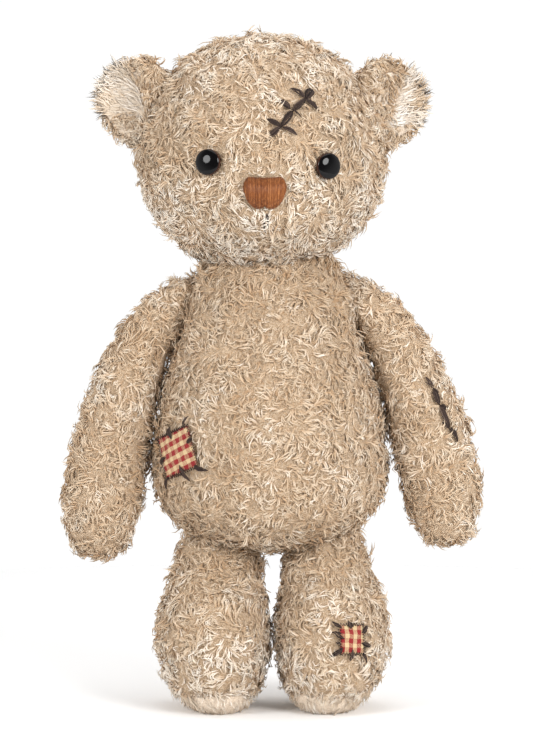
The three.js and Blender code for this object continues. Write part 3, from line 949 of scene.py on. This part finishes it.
def build_nose(surface, bare):
    """Satin stitch: threads side by side over a padded dome, from the top edge to two lobes."""
    rng = np.random.default_rng(61)
    low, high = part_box("nose")
    middle, half_high = (low.z + high.z) / 2, (high.z - low.z) / 2
    centre, half_wide = (low.x + high.x) / 2, (high.x - low.x) / 2
    strands, covered = [], []
    layers = ((NOSE_THREADS - 9, 0.4 * MM), (NOSE_THREADS, 0.0))
    for layer, (count, sink) in enumerate(layers):
        for index in range(count):
            share = (index + 0.5) / count * 2 - 1
            side = abs(share) ** 0.97
            top = nose_top(side) + rng.normal(0, NOSE_UNEVEN)
            bottom = nose_bottom(side) + rng.normal(0, NOSE_UNEVEN)
            path = []
            for t in np.linspace(0, 1, 11):
                bend = share * (0.985 - 0.10 * (1 - t) ** 2) + rng.normal(0, 0.002)
                x = centre + half_wide * bend
                z = middle + half_high * (bottom + (top - bottom) * t)
                dome = (1 - abs(share) ** 3.2) ** 0.5
                dome *= math.sin(math.pi * (0.03 + 0.94 * t)) ** 0.5
                skin_y = surface.over((x, low.y, z))[0][1]
                path.append((x, skin_y - NOSE_EDGE - NOSE_DOME * dome + sink, z))
            covered += path
            # The lower layer is darker: painted shade under the top threads.
            tone = float(np.clip(rng.normal(0.5, 0.14) - 0.15 * (layer == 0), 0, 1))
            strands.append(strand(path, half_wide / NOSE_THREADS * 1.25, tone, 6, 0.75))
    stitched("nose_satin_stitch", strands, "nose", NOSE_FLOSS)
    bare.add(covered, 1.2 * MM, 5.0 * MM, 0.4, 0.6)


def build_mouth(surface, bare):
    """Three strands of dark thread down from the nose, half lost in the pile."""
    rng = np.random.default_rng(62)
    bottom, top = ends_of("mouth_stitch")
    strands, covered = [], []
    for index in range(3):
        path = []
        for t in np.linspace(0.3 + 0.08 * index, 0.86, 11):
            at = np.array(bottom) + (np.array(top) - np.array(bottom)) * t
            at = at + np.array([0.5 * math.sin(9 * t + 2 * index) + (index - 1) * 0.4, 0, 0]) * MM
            place, _ = surface.over(at, (1.8 + rng.normal(0, 0.2)) * MM)
            path.append(place)
        covered += path
        strands.append(strand(path, 0.34 * MM, float(rng.uniform(0.1, 0.5)), 6, 0.4))
    stitched("mouth_floss", strands, "mouth_stitch")
    bare.add(covered, 0.9 * MM, 2.8 * MM, 0.4, 0.6)


# ---- mending
SCAR_LIFT = 1.5 * MM
LEAF_WIDTH = 2.5 * MM
# Shares of a leaf's full width: upper and lower leaf of a crossing, and the open loop of a run.
THIN_LEAVES = {
    "forehead_scar_cross_2": (1.1, 0.4),
    "left_arm_scar_cross_1": (0.4, 0.3),
    "left_arm_scar_cross_2": (0.4, 1.0),
    "left_arm_scar_cross_3": (0.7, 1.0),
}
LOOPS = {"forehead_scar_run_4": 1.6, "left_arm_scar_run_1": 0.6, "left_arm_scar_run_4": 0.8}


def scar_nodes(name):
    runs = [f"{name}_scar_run_{i + 1}" for i in range(SCAR_RUNS)]
    return runs + [f"{name}_scar_cross_{i + 1}" for i in range(SCAR_CROSSINGS)]


def build_scars(surfaces, bare):
    """Long stitches of floss end to end, pinched by others laid across them."""
    for number, (name, part) in enumerate(SCARS.items()):
        surface = surfaces[part]
        for index, node in enumerate(scar_nodes(name)):
            low, high = ends_of(node)
            seed = 400 + 20 * number + index
            if "run" in node:
                width = LEAF_WIDTH * LOOPS.get(node, 1.15)
                how = {"count": 7, "bow": 0.15 * MM, "taper": 0.45}
                leaves = bundle(surface, low, high, width, SCAR_LIFT, seed, **how)
            else:
                pinch = (low + high) / 2
                first, second = THIN_LEAVES.get(node, (1.0, 0.85))
                lift = SCAR_LIFT + 0.3 * MM
                leaves = bundle(surface, high, pinch, LEAF_WIDTH * first, lift, seed)
                leaves += bundle(surface, pinch, low, LEAF_WIDTH * second, lift, seed + 10)
            stitched(f"{node}_floss", leaves, node)
            line = [low + (high - low) * t for t in np.linspace(0.03, 0.97, 16)]
            bare.over(surface, line, 1.3 * MM, 4.0 * MM, 0.35, 0.9)


# Each stitch round a patch runs from its outer to its inner end: millimetres across and up from the
# patch's middle, and its share of a full leaf's width.
PATCHES = {
    "belly": {
        "part": "torso",
        "flat": (22.5, 20.5),
        "spin": 20,
        "check": 4.75,
        "start": (0.62, 0.18),
        "turn": 5,
        "stitches": [
            (-1.9, 13.6, -1.0, 7.2, 1.1), (-3.6, 13.4, -1.9, 8.6, 0.6),
            (-13.6, 10.0, -9.0, 9.0, 0.7), (-14.8, -1.8, -7.6, -0.4, 1.0),
            (-14.6, -14.8, -8.8, -10.2, 1.0), (3.2, -15.8, 0.6, -6.6, 0.9),
            (15.6, -13.8, 8.8, -9.6, 0.9), (12.2, 3.4, 8.0, 2.4, 0.8),
            (12.4, 14.6, 8.6, 10.4, 0.6),
        ],
    },
    "left_foot": {
        "part": "left_leg",
        "flat": (12.5, 14),
        "spin": -3,
        "check": 4.45,
        "start": (0.44, 0.1),
        "turn": 87,
        "stitches": [
            (-9.4, 9.2, -4.7, 4.7, 0.8), (-1.0, 9.6, -0.5, 4.0, 0.75),
            (9.6, 6.6, 4.5, 3.0, 0.9), (10.6, -3.1, 4.5, -1.6, 0.9),
            (8.0, -11.6, 5.3, -5.8, 0.75), (-1.3, -10.8, -0.5, -4.2, 0.8),
            (-11.0, -8.0, -4.5, -3.7, 0.95), (-8.6, -1.5, -5.9, -2.0, 0.5),
            (-10.2, 3.2, -3.8, 0.6, 0.75),
        ],
    },
}
TOOTH = 0.68 * MM  # half a tooth of the pinked edge
TOOTH_DEPTH = 0.45 * MM
PATCH_LIFT = 1.3 * MM
STITCH_LIFT = 1.2 * MM
STITCH_WIDTH = 2.3 * MM
PATCH_FLATTER = 0.12  # how much flatter to the front a patch lies than its skin
PATCH_STIFF = 0.5  # how much of the skin's curve a patch keeps out of


def patch_frame(node, spin):
    """The middle of a CAD patch, the way it faces, and the ways across and up it."""
    points = corners_of(node)
    middle = (points.max(0) + points.min(0)) / 2
    _, _, axes = np.linalg.svd(points - points.mean(0), full_matrices=False)
    facing = axes[2] if axes[2][1] < 0 else -axes[2]
    facing = unit(facing + np.array([0.0, -PATCH_FLATTER, 0.0]))
    level = unit(np.cross(facing, np.array([0.0, 0.0, -1.0])))
    rise = np.cross(facing, level)
    turn = math.radians(spin)
    across = level * math.cos(turn) + rise * math.sin(turn)
    up = rise * math.cos(turn) - level * math.sin(turn)
    return middle, facing, across, up


def build_patch(name, patch, surfaces, bare):
    surface = surfaces[patch["part"]]
    rng = np.random.default_rng(len(name))
    wide, high = (side * MM for side in patch["flat"])
    middle, facing, across, up = patch_frame(f"{name}_patch", patch["spin"])

    level = surface.over(middle)[0]
    check = patch["check"] * MM

    def laid(u, v, lift):
        """A place on the flattened pile, u across and v up from the patch's middle."""
        at = middle + across * u + up * v
        hit, _, _, _ = surface.tree.ray_cast(at + facing * 0.03, -facing)
        base = np.array(hit) if hit is not None else surface.over(at)[0]
        sunk = max(0.0, (level - base) @ facing)
        return base + facing * (lift + PATCH_STIFF * sunk)

    columns, rows = round(wide / TOOTH), round(high / TOOTH)
    turn = math.radians(patch["turn"])
    points, places = [], []
    for row in range(rows + 1):
        for column in range(columns + 1):
            u, v = (column / columns - 0.5) * wide, (row / rows - 0.5) * high
            if column in (0, columns):
                u += math.copysign(TOOTH_DEPTH, u) * (1 if row % 2 else -1)
            if row in (0, rows):
                v += math.copysign(TOOTH_DEPTH, v) * (1 if column % 2 else -1)
            edge = max(abs(u) / wide, abs(v) / high) * 2
            ripple = 0.18 * MM * math.sin(u / MM * 0.9 + 1) * math.cos(v / MM * 0.8)
            curl = 0.35 * MM * max(0.0, edge - 0.8) * 5 * rng.random()
            points.append(laid(u, v, PATCH_LIFT + ripple + curl))
            along = (u * math.cos(turn) + v * math.sin(turn)) / check
            over = (v * math.cos(turn) - u * math.sin(turn)) / check
            places.append((along + patch["start"][0], over + patch["start"][1]))
    faces = []
    for row in range(rows):
        for column in range(columns):
            corner = row * (columns + 1) + column
            faces.append((corner, corner + 1, corner + columns + 2, corner + columns + 1))
    mesh = bpy.data.meshes.new(f"{name}_gingham")
    mesh.from_pydata([tuple(p) for p in points], [], faces)
    mapped(mesh, WEAVE_MAP, [places[loop.vertex_index] for loop in mesh.loops])
    piece = in_scene(f"{name}_gingham", mesh)
    if np.dot(mesh.polygons[0].normal, facing) < 0:
        mesh.flip_normals()
    modify(piece, "SOLIDIFY", thickness=0.45 * MM, offset=-1.0)
    smooth(piece.data)
    finished(piece, GINGHAM, [f"{name}_patch"])

    threads = []
    for side in range(4):
        along, out = (wide, high) if side % 2 == 0 else (high, wide)
        path = []
        steps = round(along / TOOTH)
        for step in range(-1, steps + 2):
            t = (step / steps - 0.5) * along
            reach = out / 2 + (1.0 * MM if step % 2 else -TOOTH_DEPTH) + rng.normal(0, 0.15 * MM)
            u, v = [(t, -reach), (reach, t), (-t, reach), (-reach, -t)][side]
            path.append(laid(u, v, PATCH_LIFT + 0.6 * MM + rng.normal(0, 0.08 * MM)))
        threads.append(strand(path, 0.27 * MM, float(rng.uniform(0.05, 0.35)), 5, 0.8))
    for number, (u0, v0, u1, v1, share) in enumerate(patch["stitches"]):
        outer, inner = laid(u0 * MM, v0 * MM, 0.0), laid(u1 * MM, v1 * MM, 0.0)
        seed = 500 + 40 * len(name) + number
        width = STITCH_WIDTH * share
        threads += bundle(surface, outer, inner, width, PATCH_LIFT + STITCH_LIFT, seed, 5)
        line = [outer + (inner - outer) * t for t in np.linspace(0, 1, 8)]
        bare.over(surface, line, 0.9 * MM, 2.4 * MM, 0.5, 0.6)
    stitched(f"{name}_patch_floss", threads, f"{name}_patch_stitching")
    bare.over(surface, points, 1.6 * MM, 3.2 * MM, 0.5, 0.9)


# ---- seams
def part_seams(surfaces, bare):
    """The pile parts a little along the middle of the torso's front and of the chin."""

    def seam(part, x, y, heights, *care):
        bare.over(surfaces[part], [(x, y, z) for z in heights], *care)

    low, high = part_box("torso_stuffing")
    heights = np.linspace(low.z + 0.01, high.z, 110)
    seam("torso", low.x / 2 + high.x / 2, low.y - 0.02, heights, 0.0, 2.0 * MM, 0.6, 0.5)
    (x, y, z), _ = ends_of("mouth_stitch")
    seam("head", x, y - 0.01, np.linspace(z - 0.02, z, 18), 0.0, 2.6 * MM, 0.35, 0.9)


# ---- studio
VIEW_CENTRE = Vector((-0.0031, 0.0, 0.1695))
VIEW_HEIGHT = 0.369  # how much height the camera takes in at the bear
DISTANCE = 1.7
ELEVATION = math.radians(3.5)
LONG_SIDE = 36.0  # millimetres of sensor from top to bottom
# Each lamp's place, size across and power. All look at the bear's chest.
LAMPS = {
    "right_box": ((0.7, -1.0, 0.6), 0.6, 12.5),
    "left_box": ((-0.9, -0.9, 0.6), 0.55, 8.5),
    "top_box": ((0.1, -0.1, 1.5), 1.4, 8.5),
}
CHEST = (0, 0, 0.18)
COVE = (0.0, 0.8, -0.6)  # the way to the middle of the white cove
# How far round from the cove the room is dim and white, and how bright each is.
ROOM = {"From Min": -0.7, "From Max": -0.1, "To Min": 0.25, "To Max": 1.02}


def build_camera():
    data = bpy.data.cameras.new("camera")
    data.sensor_width = LONG_SIDE
    data.lens = LONG_SIDE * DISTANCE / VIEW_HEIGHT
    camera = in_scene("camera", data)
    away = Vector((0, -math.cos(ELEVATION), math.sin(ELEVATION)))
    camera.location = VIEW_CENTRE + away * DISTANCE
    camera.rotation_euler = (-away).to_track_quat("-Z", "Y").to_euler()
    scene.camera = camera


def build_light(name, place, size, power):
    data = bpy.data.lights.new(name, "AREA")
    data.shape, data.size, data.energy = "DISK", size, power
    lamp = in_scene(name, data)
    lamp.location = place
    lamp.rotation_euler = (Vector(CHEST) - lamp.location).to_track_quat("-Z", "Y").to_euler()


def build_stage():
    """A round white table before a white cove, in a room that is dimmer in front."""
    bpy.ops.mesh.primitive_circle_add(vertices=96, radius=0.6, fill_type="NGON")
    floor = bpy.context.object
    floor.name = "floor"
    white = (0.97, 0.97, 0.97, 1.0)
    made = Finish("floor_white", roughness=0.9, specular_ior_level=0.0, base_color=white)
    floor.data.materials.append(made.material)

    world = bpy.data.worlds.new("studio")
    scene.world = world
    world.use_nodes = True
    nodes = Nodes(world.node_tree)
    way = nodes.node("ShaderNodeTexCoord").output("Generated")
    cove = nodes.node("ShaderNodeVectorMath", {"operation": "DOT_PRODUCT"}, {0: way, 1: COVE})
    inputs = {"Value": cove.output("Value"), **ROOM}
    walls = nodes.node("ShaderNodeMapRange", {"interpolation_type": "SMOOTHSTEP"}, inputs)
    room = nodes.tree.nodes["Background"].inputs
    nodes.join(room["Color"], (1.0, 1.0, 1.0, 1.0))
    nodes.join(room["Strength"], walls)


build_camera()
for name, lamp in LAMPS.items():
    build_light(name, *lamp)
build_stage()
scene.view_settings.view_transform = "Standard"

surfaces = build_skins()
bare = Bare()
for side in SIDES:
    build_eye(side, bare)
    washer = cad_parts[f"{side}_eye_washer"]
    for slot in washer.material_slots:
        slot.material = WASHER
build_nose(surfaces["head"], bare)
build_mouth(surfaces["head"], bare)
build_scars(surfaces, bare)
for name, patch in PATCHES.items():
    build_patch(name, patch, surfaces, bare)
part_seams(surfaces, bare)
build_pile(surfaces, bare)
